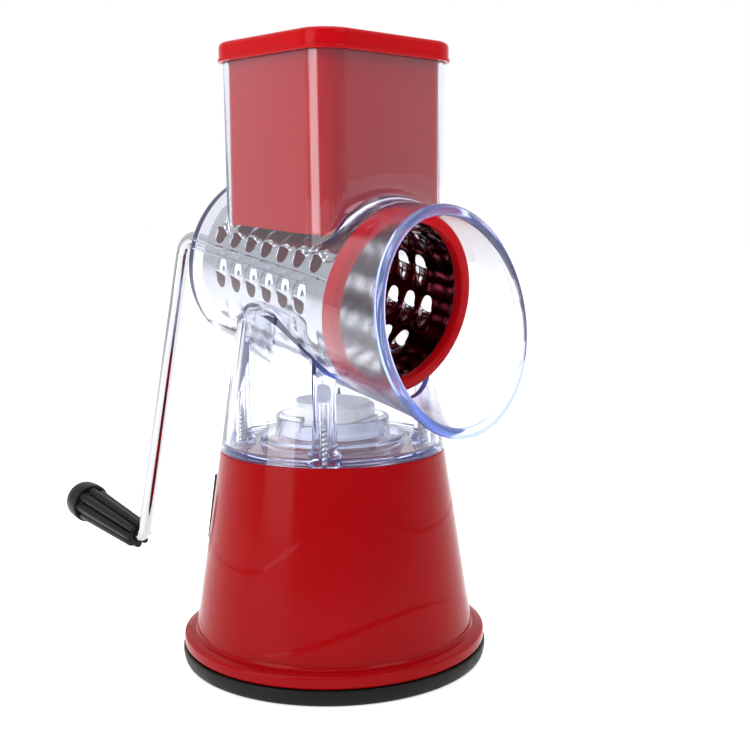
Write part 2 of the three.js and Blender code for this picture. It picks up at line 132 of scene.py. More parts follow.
def rounded_block(half, corner, low, high, arc=12):
    """A square prism with rounded upright edges, about the chute's centre line."""
    bm = bmesh.new()
    bmesh.ops.create_grid(bm, x_segments=1, y_segments=1, size=half)
    bmesh.ops.bevel(
        bm, geom=bm.verts[:], offset=corner, offset_type="OFFSET", segments=arc, profile=0.5,
        affect="VERTICES", material=-1, clamp_overlap=True,
    )
    bmesh.ops.translate(bm, verts=bm.verts, vec=(0, CHUTE_Y, low))
    raised = bmesh.ops.extrude_face_region(bm, geom=bm.faces[:])["geom"]
    top = [v for v in raised if isinstance(v, bmesh.types.BMVert)]
    bmesh.ops.translate(bm, verts=top, vec=(0, 0, high - low))
    bmesh.ops.recalc_face_normals(bm, faces=bm.faces)
    return bm


print("block helper ready")

# %% [markdown]
# Where two shapes meet, such as the barrel and the chute, a Boolean modifier joins them. It is
# applied at once and its scratch objects are removed, so only plain meshes are left.

# %% Joining and cutting


def scratch(bm):
    """An object that holds a bmesh for a moment."""
    mesh = bpy.data.meshes.new("scratch")
    bm.to_mesh(mesh)
    bm.free()
    ob = bpy.data.objects.new("scratch", mesh)
    bpy.context.scene.collection.objects.link(ob)
    return ob


def combine(bm, *steps):
    """Joins or cuts bm with each (operation, tool) in turn and gives the result as a bmesh."""
    ob = scratch(bm)
    for operation, tool_bm in steps:
        tool = scratch(tool_bm)
        modifier = ob.modifiers.new("join", "BOOLEAN")
        modifier.operation = operation
        modifier.object = tool
        modifier.solver = "MANIFOLD"
        graph = bpy.context.evaluated_depsgraph_get()
        mesh = bpy.data.meshes.new_from_object(ob.evaluated_get(graph))
        ob.modifiers.clear()
        old, ob.data = ob.data, mesh
        bpy.data.meshes.remove(old)
        bpy.data.objects.remove(tool)
    result = bmesh.new()
    result.from_mesh(ob.data)
    bpy.data.objects.remove(ob)
    return result


def moved(bm, matrix):
    bmesh.ops.transform(bm, matrix=matrix, verts=bm.verts)
    return bm


print("boolean helper ready")

# %% [markdown]
# A finished piece keeps its object at the origin and its place in its mesh. The drum's own
# direction is handy, so `ON_AXIS` carries local +Z onto the drum axis, pointing out of the mouth.

# %% Placing a piece
TILT = math.radians(9.25)
AXIS_Z = 173.1
ON_AXIS = Matrix.Translation((0, 0, AXIS_Z)) @ Matrix.Rotation(math.pi / 2 + TILT, 4, "X")
MOUTH_AT = 78.6
MOUTH_SLOPE = math.radians(18.75)
MOUTH_PLANE = ON_AXIS @ Matrix.Translation((0, 0, MOUTH_AT)) @ Matrix.Rotation(-MOUTH_SLOPE, 4, "X")


def piece(name, bm, material, body, nodes, sharp=32, place=Matrix()):
    """Makes a named object of a bmesh in millimetres and ties it to the frame."""
    moved(bm, Matrix.Scale(MM, 4) @ place)
    for face in bm.faces:
        face.smooth = True
    for edge in bm.edges:
        if len(edge.link_faces) == 2 and edge.calc_face_angle(0) > math.radians(sharp):
            edge.smooth = False
    mesh = bpy.data.meshes.new(name)
    bm.to_mesh(mesh)
    bm.free()
    ob = bpy.data.objects.new(name, mesh)
    bpy.context.scene.collection.objects.link(ob)
    mesh.materials.append(material)
    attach(ob, body)
    if nodes:
        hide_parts(*nodes)
    print(f"{name}: {len(mesh.polygons)} faces on {body}")
    return ob


# %% [markdown]
# ## Materials
# Each material starts from what the real one is. `add` puts one node in a tree: values are set on
# its sockets and sockets are linked. `srgb` turns a hex colour into the linear numbers Cycles uses.

# %% Material helpers


def srgb(code, alpha=1.0):
    """Linear RGBA of an sRGB hex colour."""
    channels = [int(code[i:i + 2], 16) / 255 for i in (1, 3, 5)]
    linear = [c / 12.92 if c <= 0.04045 else ((c + 0.055) / 1.055) ** 2.4 for c in channels]
    return (*linear, alpha)


def add(tree, kind, inputs=None, **settings):
    """Adds a shader node; each input is a value to set or a socket to link."""
    node = tree.nodes.new("ShaderNode" + kind)
    for key, value in settings.items():
        setattr(node, key, value)
    for key, value in (inputs or {}).items():
        if isinstance(value, bpy.types.NodeSocket):
            tree.links.new(value, node.inputs[key])
        else:
            node.inputs[key].default_value = value
    return node


def new_material(name):
    """A material with an empty tree, its output, and Object coordinates in metres."""
    material = bpy.data.materials.new(name)
    material.use_nodes = True
    tree = material.node_tree
    tree.nodes.clear()
    output = add(tree, "OutputMaterial")
    place = add(tree, "Mapping", {"Vector": add(tree, "TexCoord").outputs["Object"]})
    return material, tree, output, place.outputs["Vector"]


def noise(tree, where, size_mm, detail=3.0, roughness=0.5):
    """A noise whose blobs are about size_mm across."""
    return add(tree, "TexNoise", {
        "Vector": where, "Scale": 1000 / size_mm, "Detail": detail, "Roughness": roughness,
    }).outputs["Fac"]


def spread(tree, value, low, high, from_low=0.3, from_high=0.7):
    """Stretches a 0 to 1 pattern onto another range."""
    return add(tree, "MapRange", {
        "Value": value, "From Min": from_low, "From Max": from_high, "To Min": low,
        "To Max": high,
    }).outputs["Result"]


def bump(tree, height, depth_mm, normal=None):
    inputs = {"Height": height, "Strength": 1.0, "Distance": depth_mm * MM}
    if normal:
        inputs["Normal"] = normal
    return add(tree, "Bump", inputs).outputs["Normal"]


def two_colours(tree, factor, low, high):
    ramp = add(tree, "ValToRGB", {"Fac": factor})
    ramp.color_ramp.elements[0].color = srgb(low)
    ramp.color_ramp.elements[1].color = srgb(high)
    return ramp.outputs["Color"]


print("material helpers ready")

# %% [markdown]
# The red parts are injection-moulded ABS from a polished mould. That gives a high gloss, a faint
# waviness from shrinkage, fine rub marks where hands and cloths touch it, and a colour that is
# even but for slight flow.

# %% Red ABS


def red_abs(name, low, high, gloss=0.15):
    material, tree, output, where = new_material(name)
    colour = two_colours(tree, noise(tree, where, 55), low, high)
    rubs = add(tree, "Mapping", {"Vector": where, "Scale": (1, 1, 0.06)}).outputs["Vector"]
    scuffs = spread(tree, noise(tree, rubs, 0.9, 5.0, 0.7), 0, 1, 0.55, 0.8)
    sheen = spread(tree, noise(tree, where, 18, 4.0), gloss - 0.04, gloss + 0.06)
    rough = add(tree, "Math", {0: scuffs, 1: 0.07, 2: sheen}, operation="MULTIPLY_ADD")
    waviness = bump(tree, noise(tree, where, 14, 2.0), 0.05)
    shader = add(tree, "BsdfPrincipled", {
        "Base Color": colour, "Roughness": rough.outputs[0], "IOR": 1.53,
        "Specular IOR Level": 0.07, "Normal": bump(tree, scuffs, 0.004, waviness),
        "Subsurface Weight": 0.03, "Subsurface Scale": 0.002,
    })
    tree.links.new(shader.outputs[0], output.inputs["Surface"])
    return material


RED = red_abs("red_abs_base_moulding", "#820206", "#8f0309")
BRIGHT_RED = red_abs("red_abs_pusher_moulding", "#9e040b", "#aa0610")
print("red plastic ready")

# %% [markdown]
# The housing is clear styrene. Along an edge light travels through centimetres of plastic, which
# soaks up its red, so rims and thick places turn a pale blue: a Volume Absorption does that. The
# light such plastic pipes from the rest of the part is painted: the volume has a faint blue
# Emission of its own, a painted glow. The rim of the chute and the bead of the mouth, on the side
# away from a fixed lamp direction, get a stronger painted blue glow: a blue base colour and a blue
# emission. The flare before the mouth is finely scratched, so it blurs what lies behind it.
# Rays from lamps pass through a Transparent shader that is mixed in for them only.

# %% Clear styrene
CHUTE_TOP = 269.4
OUT_OF_MOUTH = MOUTH_PLANE.to_3x3() @ Vector((0, 0, 1))
AXIS = ON_AXIS.to_3x3() @ Vector((0, 0, 1))
TOWARDS_LIGHT = Vector((0.62, -0.6, 0.5))


def beyond(tree, where, normal, start_mm, soft_mm):
    """A mask that rises from 0 to 1 where a point passes a plane."""
    along = add(tree, "VectorMath", {0: where, 1: normal}, operation="DOT_PRODUCT")
    return spread(tree, along.outputs["Value"], 0, 1, start_mm * MM, (start_mm + soft_mm) * MM)


def from_axis(tree, where, near_mm, far_mm, low=0, high=1):
    """A value that goes from low to high with the distance from the drum's axis."""
    arm = add(tree, "VectorMath", {0: where, 1: (0, 0, AXIS_Z * MM)}, operation="SUBTRACT")
    across = add(tree, "VectorMath", {0: arm.outputs[0], 1: AXIS}, operation="CROSS_PRODUCT")
    radius = add(tree, "VectorMath", {0: across.outputs[0]}, operation="LENGTH")
    return spread(tree, radius.outputs["Value"], low, high, near_mm * MM, far_mm * MM)


def times(tree, a, b, operation="MULTIPLY"):
    return add(tree, "Math", {0: a, 1: b}, operation=operation).outputs[0]


def clear_styrene(name):
    material, tree, output, where = new_material(name)
    flow = add(tree, "Mapping", {"Vector": where, "Scale": (1, 1, 0.25)}).outputs["Vector"]
    at_mouth = OUT_OF_MOUTH.dot(MOUTH_PLANE.translation)
    # Masks for a painted blue glow: the chute's rim, and the mouth's bead on the side away from a
    # fixed lamp direction.
    bead = beyond(tree, where, OUT_OF_MOUTH, at_mouth - 2.8, 1.2)
    rim = beyond(tree, where, (0, 0, 1), CHUTE_TOP - 1.6, 1.0)
    # This mask rises towards a fixed lamp direction; the bead's painted glow is kept to the far
    # side.
    lit_side_mask = beyond(tree, where, TOWARDS_LIGHT, TOWARDS_LIGHT.dot(MOUTH_PLANE.translation) + 2, 26)
    bead = times(tree, bead, times(tree, 1.0, lit_side_mask, "SUBTRACT"))
    # The painted blue glow of rim and bead together.
    edges = times(tree, bead, rim, "MAXIMUM")
    flare = beyond(tree, where, AXIS, AXIS.z * AXIS_Z + 51, 3)
    scratched = times(tree, flare, from_axis(tree, where, 45.5, 46.5, 1, 0))
    fine = noise(tree, where, 2.2, 3.0, 0.6)
    haze = times(tree, scratched, spread(tree, fine, 0.09, 0.18))
    ripple = bump(tree, noise(tree, flow, 16, 2.0), 0.03)
    # The blue base colour and blue emission on that mask are a painted glow, not a colour of the
    # plastic.
    glass = add(tree, "BsdfPrincipled", {
        "Base Color": two_colours(tree, edges, "#f9fafd", "#b9ccfa"), "Roughness": haze,
        "IOR": 1.5, "Transmission Weight": 1.0, "Normal": ripple,
        "Emission Color": srgb("#7fa0f0"), "Emission Strength": times(tree, edges, 0.26),
    })
    lamp_side = add(tree, "BsdfTransparent", {"Color": srgb("#f1f3fa")})
    for_lamps = add(tree, "LightPath").outputs["Is Shadow Ray"]
    mixed = add(tree, "MixShader", {0: for_lamps, 1: glass.outputs[0], 2: lamp_side.outputs[0]})
    tint = add(tree, "VolumeAbsorption", {"Color": srgb("#8fa4f2"), "Density": 16.0})
    # A painted glow: the volume's blue emission stands in for light piped through the plastic.
    glow = add(tree, "Emission", {"Color": srgb("#8a9df0"), "Strength": 5.0})
    inside = add(tree, "AddShader", {0: tint.outputs[0], 1: glow.outputs[0]})
    tree.links.new(mixed.outputs[0], output.inputs["Surface"])
    tree.links.new(inside.outputs[0], output.inputs["Volume"])
    return material


CLEAR = clear_styrene("clear_styrene_moulded")
print("clear plastic ready")

# %% [markdown]
# The drum is thin stainless sheet, polished before it is punched. It mirrors its surroundings,
# with very fine lines round the drum from polishing and a soft waviness left by the punch. The
# rod is chrome plated, which is brighter and harder.

# %% Metals


def polished_metal(name, colour, rough_low, rough_high, line_mm, wave_mm, inside=None):
    """Bright metal; inside is a dark maroon painted on the drum's inner face, if it has one:
    painted shade and a painted reflection of the red parts.
    """
    material, tree, output, where = new_material(name)
    lines = noise(tree, where, line_mm, 3.0)
    rough = spread(tree, lines, rough_low, rough_high)
    tone = two_colours(tree, noise(tree, where, 25), colour[0], colour[1])
    # The sheet's inner face gets the flat inside colour instead of the bright tone: painted shade
    # and a painted red reflection.
    if inside:
        outer = from_axis(tree, where, 34.7, 34.9)
        tone = add(tree, "Mix", {0: outer, 6: srgb(inside), 7: tone}, data_type="RGBA").outputs[2]
    waves = bump(tree, noise(tree, where, 9, 2.0), wave_mm)
    shader = add(tree, "BsdfPrincipled", {
        "Base Color": tone, "Metallic": 1.0, "Roughness": rough,
        "Normal": bump(tree, lines, 0.003, waves),
    })
    tree.links.new(shader.outputs[0], output.inputs["Surface"])
    return material


# 702630 is the painted shade and painted red reflection on the inner face of the drum.
STEEL = polished_metal(
    "stainless_polished_sheet", ("#b9babc", "#c7c8c9"), 0.05, 0.13, 0.5, 0.03, "#702630",
)
CHROME = polished_metal("chrome_plated_rod", ("#b4b5b9", "#bebfc3"), 0.03, 0.08, 0.6, 0.006)
ZINC = polished_metal("zinc_plated_screw", ("#a9a9a6", "#bdbdb8"), 0.22, 0.38, 0.4, 0.01)
print("metals ready")

# %% [markdown]
# Three dull plastics are left: the rubber foot with its fine moulded grain, the black nylon grip
# with the satin of a worn handle, and the white acetal of the suction cam.

# %% Dull plastics


def dull(name, low, high, rough, grain_mm, grain_depth, ior=1.5, glow=0.0):
    material, tree, output, where = new_material(name)
    colour = two_colours(tree, noise(tree, where, 12, 4.0), low, high)
    grain = noise(tree, where, grain_mm, 4.0, 0.6)
    patch = spread(tree, noise(tree, where, 6, 3.0), rough - 0.06, rough + 0.08)
    shader = add(tree, "BsdfPrincipled", {
        "Base Color": colour, "Roughness": patch, "IOR": ior,
        "Normal": bump(tree, grain, grain_depth), "Subsurface Weight": glow,
        "Subsurface Scale": 0.003, "Specular IOR Level": 0.5 if glow else 0.16,
    })
    tree.links.new(shader.outputs[0], output.inputs["Surface"])
    return material


RUBBER = dull("black_rubber_moulded", "#050405", "#0a090a", 0.48, 0.8, 0.012, 1.52)
GRIP = dull("black_nylon_satin", "#0c0b0d", "#151416", 0.36, 0.7, 0.012, 1.53)
ACETAL = dull("white_acetal_moulded", "#e9e8e4", "#f3f2ee", 0.34, 1.2, 0.006, 1.48, 0.15)
print("dull plastics ready")

# %% [markdown]
# ## The base
# The foot is a rubber ring. It is simply turned, with a soft lower edge where it meets the table.

# %% Foot ring
piece("rubber_foot", turned([
    (61, 0, 0.6), (69.4, 0, 1.6), (70.9, 4, 2.5), (70.6, 7.4, 0.8), (65.2, 7.4, 0.4),
    (65.2, 12, 0.4), (61, 12, 0.4),
], 224), RUBBER, "base", ["foot_ring"])

# %% [markdown]
# The red cone is a thin moulding with two swooping waves embossed round it. The cone is spun with
# many rows, and then each vertex of the outer wall moves outward by a fraction of a millimetre
# where it lies under a wave. The crests and troughs are joined by half cosines, as a drawn wave is.

# %% Base cone
CONE_FOOT = Vector((64.1, 15.4))
CONE_TOP = Vector((51.2, 98))
LOW_WAVE = [(184, 16), (268, 36), (364, 16), (448, 36), (544, 16)]
HIGH_WAVE = [(100, 72), (187, 51.5), (240, 80.5), (274, 68), (330, 76), (400, 60), (460, 72)]
EMBOSS = 0.2
LEVER_Z = 66


def taper(z):
    """Radius of the cone, and of the clear neck that carries its line on upward."""
    return CONE_FOOT.x + (z - CONE_FOOT.y) / (CONE_TOP.y - CONE_FOOT.y) * (CONE_TOP.x - CONE_FOOT.x)


def wave_height(turning_points, angle):
    """Height of a wave at an angle in degrees, eased between its crests and troughs."""
    while angle < turning_points[0][0]:
        angle += 360
    for (a, low), (b, high) in zip(turning_points, turning_points[1:]):
        if a <= angle <= b:
            share = 0.5 - 0.5 * math.cos(math.pi * (angle - a) / (b - a))
            return low + share * (high - low)
    return turning_points[-1][1]


def step(value, width=1.6):
    """0 below zero, 1 above, with a soft step of that width between."""
    t = min(1, max(0, 0.5 + value / width))
    return t * t * (3 - 2 * t)


def sector(inner, outer, start, end, low, high, steps=48):
    """A piece of a ring between two angles in degrees."""
    bm = bmesh.new()
    corners = [bm.verts.new(p) for p in (
        (inner, 0, low), (outer, 0, low), (outer, 0, high), (inner, 0, high),
    )]
    first = bm.faces.new(corners)
    bmesh.ops.spin(
        bm, geom=[first, *first.edges, *first.verts], cent=(0, 0, 0), axis=(0, 0, 1),
        angle=math.radians(end - start), steps=steps, use_merge=False,
    )
    bmesh.ops.rotate(
        bm, verts=bm.verts, cent=(0, 0, 0), matrix=Matrix.Rotation(math.radians(start), 3, "Z"),
    )
    bmesh.ops.recalc_face_normals(bm, faces=bm.faces)
    return bm


def base_cone():
    rows = 110
    wall = [(*CONE_FOOT.lerp(CONE_TOP, k / rows), 0) for k in range(1, rows)]
    bm = turned([
        (65.5, 7.7, 0), (69.3, 7.7, 0.3), (70, 8.6, 0.3), (70, 13.0, 0.9), (66.4, 14.1, 0.5),
        (64.9, 14.2, 0.4), (64.1, 15.4, 0.3), *wall, (51.2, 98, 0.5), (48.7, 98, 0.3),
        (48.7, 95.5, 0.3), (20, 95.5, 0.8), (20, 102.7, 0.4), (14.4, 102.7, 0.2),
        (14.4, 92.5, 0.3), (49.6, 92.5, 1), (61.6, 16, 1), (61.6, 12.3, 0), (65.5, 12.3, 0),
    ], 288)
    for vert in bm.verts:
        x, y, z = vert.co
        radius = math.hypot(x, y)
        if 15.5 < z < 97 and abs(radius - taper(z)) < 0.3:
            angle = math.degrees(math.atan2(y, x)) % 360
            low = 1 - step(z - wave_height(LOW_WAVE, angle))
            high = step(z - wave_height(HIGH_WAVE, angle))
            fade = min(1, (97 - z) / 12)
            lift = EMBOSS * (low * min(1, (z - 15.5) / 1.5) - 0.8 * high * fade)
            vert.co.xy *= (radius + lift) / radius
    slot = sector(46, 66, 36, 124, LEVER_Z - 2.6, LEVER_Z + 2.6)
    return combine(bm, ("DIFFERENCE", slot))


piece("red_cone", base_cone(), RED, "base", ["base_cone"], 40)

# %% [markdown]
# ## The clear housing
# Neck, barrel and chute are one moulding. The way to get walls of even thickness is to join the
# three outer shapes, then cut the three inner shapes out. The mouth is cut off on a slope and
# gets a thick rounded bead, and four columns in the neck take the screws.

# %% Clear housing
WALL = 2.4
MOUTH_WIDE = 40.85
MOUTH_TALL = 45.2
BARREL_BACK = -54
BARREL = [(BARREL_BACK, 40), (63, 42.4), (78, 43), (98, 45)]
COLUMNS = [(-30, -30), (30, -30), (30, 30), (-30, 30)]


def barrel_radius(s):
    for (s0, r0), (s1, r1) in zip(BARREL, BARREL[1:]):
        if s <= s1:
            return r0 + (s - s0) / (s1 - s0) * (r1 - r0)
    return BARREL[-1][1]


def barrel(inset, back_at, front_at, edge, steps=224):
    middle = [(barrel_radius(s) - inset, s, 0) for s in (0, 30, 50, 63, 70, 78, 88)]
    return moved(turned([
        (0, back_at, 0), (barrel_radius(back_at) - inset, back_at, edge), *middle,
        (barrel_radius(front_at) - inset, front_at, 0), (0, front_at, 0),
    ], steps, closed=False, arc=6), ON_AXIS)


def post(radius, low, high, x, y, steps=32, place=Matrix()):
    bm = turned([(0, low, 0), (radius, low, 0), (radius, high, 0), (0, high, 0)], steps, False)
    return moved(bm, place @ Matrix.Translation((x, y, 0)))


def tapered_post(x, y):
    return moved(turned([
        (0, 95.8, 0), (7, 95.8, 0.4), (7, 103.2, 0.8), (5.3, 104.4, 0.8), (4.6, 160, 0),
        (0, 160, 0),
    ], 40, False), Matrix.Translation((x, y, 0)))


def mouth_bead():
    """A ring of round section on the sloping mouth, a little taller than wide."""
    bm = bmesh.new()
    bmesh.ops.create_circle(bm, segments=20, radius=2.15)
    bmesh.ops.rotate(bm, verts=bm.verts, matrix=Matrix.Rotation(math.pi / 2, 3, "X"))
    bmesh.ops.translate(bm, verts=bm.verts, vec=(MOUTH_WIDE, 0, 0))
    bmesh.ops.spin(
        bm, geom=bm.verts[:] + bm.edges[:], cent=(0, 0, 0), axis=(0, 0, 1), angle=math.tau,
        steps=224, use_merge=True,
    )
    bmesh.ops.remove_doubles(bm, verts=bm.verts, dist=1e-4)
    bmesh.ops.recalc_face_normals(bm, faces=bm.faces)
    lowered = ON_AXIS @ Matrix.Translation((0, -0.9, -0.6)) @ ON_AXIS.inverted()
    return moved(bm, lowered @ MOUTH_PLANE @ Matrix.Diagonal((1, MOUTH_TALL / MOUTH_WIDE, 1, 1)))


def beyond_mouth():
    bm = bmesh.new()
    bmesh.ops.create_cube(bm, size=120)
    return moved(bm, MOUTH_PLANE @ Matrix.Translation((0, 0, 60)))


def side_rib():
    """A low double rib that runs along the barrel's side."""
    ribs = bmesh.new()
    for lift in (6.6, 10.4):
        bmesh.ops.create_cube(ribs, size=1, matrix=Matrix.Translation((-40.2, lift, -6))
                              @ Matrix.Diagonal((2.8, 0.7, 90, 1)))
    return moved(ribs, ON_AXIS)


def barrel_top(x, y):
    """Height of the barrel's skin above a point of the table."""
    up = ON_AXIS.to_3x3() @ Vector((0, 1, 0))
    z = AXIS_Z + 40
    for _ in range(4):
        radius = barrel_radius(AXIS.y * y + AXIS.z * (z - AXIS_Z))
        z = AXIS_Z + (math.sqrt(max(radius**2 - x**2, 1)) - up.y * y) / up.z
    return z


def chute_cove():
    """The soft fillet where the chute grows out of the barrel, widest at the front."""
    outline = rounded_block(CHUTE_HALF, CHUTE_CORNER, 0, 1, 10)
    loop = [v.co.copy() for v in outline.verts if v.co.z < 0.5]
    outline.free()
    centre = Vector((0, CHUTE_Y))
    loop.sort(key=lambda p: math.atan2(p.y - centre.y, p.x))
    points = [a.lerp(b, k / 8) for a, b in zip(loop, loop[1:] + loop[:1])
              for k in range(8 if (b - a).length > 20 else 1)]
    bm = bmesh.new()
    rings = []
    for i, p in enumerate(points):
        along = (points[(i + 1) % len(points)] - points[i - 1]).normalized()
        out = Vector((along.y, -along.x))
        size = 1.0 + 6.2 * max(0, -out.y) ** 2
        corner = Vector((p.x, p.y, barrel_top(p.x, p.y)))
        top = corner + Vector((0, 0, size))
        foot = Vector((p.x + out.x * size, p.y + out.y * size, 0))
        foot.z = barrel_top(foot.x, foot.y)
        curve = [top * (1 - t) ** 2 + corner * 2 * t * (1 - t) + foot * t**2
                 for t in (k / 5 for k in range(6))]
        inward = Vector((-out.x, -out.y, 0))
        section = [top + inward, *curve, foot - Vector((0, 0, 1.2)), corner + inward * 1.5
                   - Vector((0, 0, 2))]
        rings.append([bm.verts.new(q) for q in section])
    for i, ring in enumerate(rings):
        before = rings[i - 1]
        for k in range(len(ring)):
            n = (k + 1) % len(ring)
            bm.faces.new((before[k], ring[k], ring[n], before[n]))
    bmesh.ops.recalc_face_normals(bm, faces=bm.faces)
    return bm


def clear_housing():
    def neck(offset, low, high, steps=200):
        return turned([
            (0, low, 0), (taper(low) - offset, low, 0), (taper(high) - offset, high, 0),
            (0, high, 0),
        ], steps, False)

    room = turned([
        (0, 94, 0), (46.2, 94, 0), (46.2, 98.3, 0.3), (31, 98.3, 0.3), (31, 102, 0.5),
        (24.2, 102, 0.3), (24.2, 112, 0.3), (26, 112, 0.4), (26, 104, 0.6), (33, 104, 0.4),
        (33, 100.3, 0.6), (46.2, 100.3, 0.5), (46.2, 101, 0.2), (taper(101.5) - WALL, 101.5, 0.5),
        (taper(172) - WALL, 172, 0), (0, 172, 0),
    ], 200, False)
    hollow = combine(
        room, ("DIFFERENCE", barrel(0, BARREL_BACK, 98, 1.5)),
        *[("DIFFERENCE", tapered_post(x, y)) for x, y in COLUMNS],
    )
    return combine(
        neck(0, 98.3, 172),
        ("UNION", post(48.3, 95.8, 101, 0, 0, 200)),
        ("UNION", rounded_block(CHUTE_HALF, CHUTE_CORNER, 182, CHUTE_TOP)),
        ("UNION", barrel(0, BARREL_BACK, 98, 1.5)),
        ("UNION", chute_cove()),
        ("UNION", side_rib()),
        ("DIFFERENCE", hollow),
        ("UNION", post(15, BARREL_BACK - 4, BARREL_BACK + 3, 0, 0, 64, ON_AXIS)),
        ("DIFFERENCE", beyond_mouth()),
        ("DIFFERENCE", barrel(WALL, BARREL_BACK + WALL, 99, 1)),
        ("DIFFERENCE", rounded_block(CHUTE_HALF - 2, CHUTE_CORNER - 2, 187, 280)),
        ("DIFFERENCE", post(11.4, -70, -40, 0, 0, 64, ON_AXIS)),
        *[("DIFFERENCE", post(2.3, 90, 124, x, y, 16)) for x, y in COLUMNS],
        ("UNION", mouth_bead()),
    )


piece("styrene_housing", clear_housing(), CLEAR, "base", ["clear_housing"], 28)

# %% [markdown]
# Four self-tapping screws stand in the columns. Their thread is a real helix: one tooth of the
# profile is spun for many turns while it climbs, which a spin with a step along its axis does.

# %% Screws
PITCH = 2.1
TURNS = 11
SCREW_TIP = 119


def screw(x, y):
    bm = bmesh.new()
    tooth = [bm.verts.new(p) for p in ((1.35, 0, 0), (1.95, 0, PITCH * 0.5), (1.35, 0, PITCH))]
    edges = [bm.edges.new(tooth[i:i + 2]) for i in (0, 1)]
    per_turn = 18
    bmesh.ops.spin(
        bm, geom=tooth + edges, cent=(0, 0, 0), axis=(0, 0, 1), angle=math.tau * TURNS,
        steps=per_turn * TURNS, dvec=(0, 0, PITCH / per_turn), use_merge=False,
    )
    bmesh.ops.remove_doubles(bm, verts=bm.verts, dist=1e-3)
    start = SCREW_TIP - (TURNS + 1) * PITCH
    bmesh.ops.translate(bm, verts=bm.verts, vec=(0, 0, start))
    for vert in bm.verts:
        vert.co.xy *= min(1, max(0.12, (SCREW_TIP - vert.co.z) / 5))
    body = turned([
        (0, 89.6, 0), (2.4, 89.6, 0.6), (4, 91.4, 0.5), (4, 92.2, 0.2), (1.3, 92.2, 0.1),
        (1.36, 114.5, 0), (0, 118.8, 0),
    ], 24, False)
    scratch_mesh = bpy.data.meshes.new("scratch")
    body.to_mesh(scratch_mesh)
    body.free()
    bm.from_mesh(scratch_mesh)
    bpy.data.meshes.remove(scratch_mesh)
    bmesh.ops.recalc_face_normals(bm, faces=bm.faces)
    return moved(bm, Matrix.Translation((x, y, 0)))


for number, (x, y) in enumerate(COLUMNS, 1):
    piece(
        f"housing_screw_thread_{number}", screw(x, y), ZINC, "base",
        [f"housing_screw_{number}"], 25,
    )

# %% [markdown]
# ## The drum
# The steel sheet is punched in rows. Each tooth is a little hood that rises over one end of its
# slot, so that the drum cuts as it turns. One tooth is modelled on a flat tile of sheet. Tiles
# fill the developed sheet: every other row has one tooth more and starts half a tile further
# back. Then the sheet is rolled up and its edges are welded.

# %% One tooth
DRUM_R = 35
TILE_UP = DRUM_R * math.radians(30)
TILE_ALONG = 11.1
SPOKES = 24
TOOTH = [  # rings from the lip outward: lower reach, upper reach, half width, rise, dip
    (5.3, 1.5, 3.2, 1.9, 0.3), (5.7, 2.4, 3.5, 2.2, 0.05), (6.2, 6.4, 3.9, 1.6, 0),
    (6.8, 9.7, 4.5, 0, 0),
]
TOOTH_ROOT = -2.2


def tile_edge(k):
    """The end of a tile's k-th spoke, with u up the sheet and v along the drum."""
    half_u, half_v = TILE_UP / 2, TILE_ALONG / 2
    c, s = math.cos(math.tau * k / SPOKES), math.sin(math.tau * k / SPOKES)
    if k % 12 in (2, 10):
        return math.copysign(half_u, c), math.copysign(half_v, s)
    if k % 12 in (11, 0, 1):
        return math.copysign(half_u, c), half_v / 2 * round(s / 0.25)
    return half_v * c / abs(s), math.copysign(half_v, s)


def tooth_tile(bm, u0, v0):
    """One punched tooth: rings of vertices from the slot's lip out to the tile's edge."""
    rings = []
    for lower, upper, half, rise, dip in TOOTH:
        ring = []
        for k in range(SPOKES):
            c, s = math.cos(math.tau * k / SPOKES), math.sin(math.tau * k / SPOKES)
            hood = max(0, c)
            side = math.copysign(abs(s) ** (0.7 if c < 0 else 1), s)
            narrow = 1 - 0.28 * hood**2 * upper / 9.7
            height = rise * hood**0.6 - dip * (1 - hood)
            u = u0 + TOOTH_ROOT + c * (upper if c > 0 else lower)
            ring.append(bm.verts.new((u, v0 + side * half * narrow, height)))
        rings.append(ring)
    border = [tile_edge(k) for k in range(SPOKES)]
    rings.append([bm.verts.new((u0 + u, v0 + v, 0)) for u, v in border])
    for inner, outer in zip(rings, rings[1:]):
        for k in range(SPOKES):
            n = (k + 1) % SPOKES
            bm.faces.new((inner[k], outer[k], outer[n], inner[n]))


print("a tile is", round(TILE_UP, 2), "by", TILE_ALONG, "mm")

# %% [markdown]
# The opening of a tooth lies below its tile's middle, so the tiles stand a little further round
# than the openings. Where the sheet's two halves are joined the space between rows is wider.

# %% Drum shell
OPENING = math.degrees(3.5 / DRUM_R)
FIRST_SLOT = -33.3
PER_ROW = 6
DRUM_ENDS = (-48, 44)
SHORT_ROWS = (19.4, 79.4, 126.3, 186.3, 246.3, 319.4)
LONG_ROWS = (49.4, 156.3, 216.3, 289.4, 349.4)
row_back = FIRST_SLOT - TILE_ALONG
STATIONS = [DRUM_ENDS[0], *(row_back + k * TILE_ALONG / 4 for k in range(29))]
STATIONS += [STATIONS[-1] + (DRUM_ENDS[1] - STATIONS[-1]) * k / 3 for k in (1, 2, 3)]


def plain_sheet(bm, ups, v_from, v_to):
    """Unpunched sheet between two stations, in rows that meet the tiles' own vertices."""
    along = [v for v in STATIONS if v_from - 0.01 <= v <= v_to + 0.01]
    for low, high in zip(ups, ups[1:]):
        for a, b in zip(along, along[1:]):
            bm.faces.new([bm.verts.new((u, v, 0)) for u, v in (
                (low, a), (high, a), (high, b), (low, b),
            )])


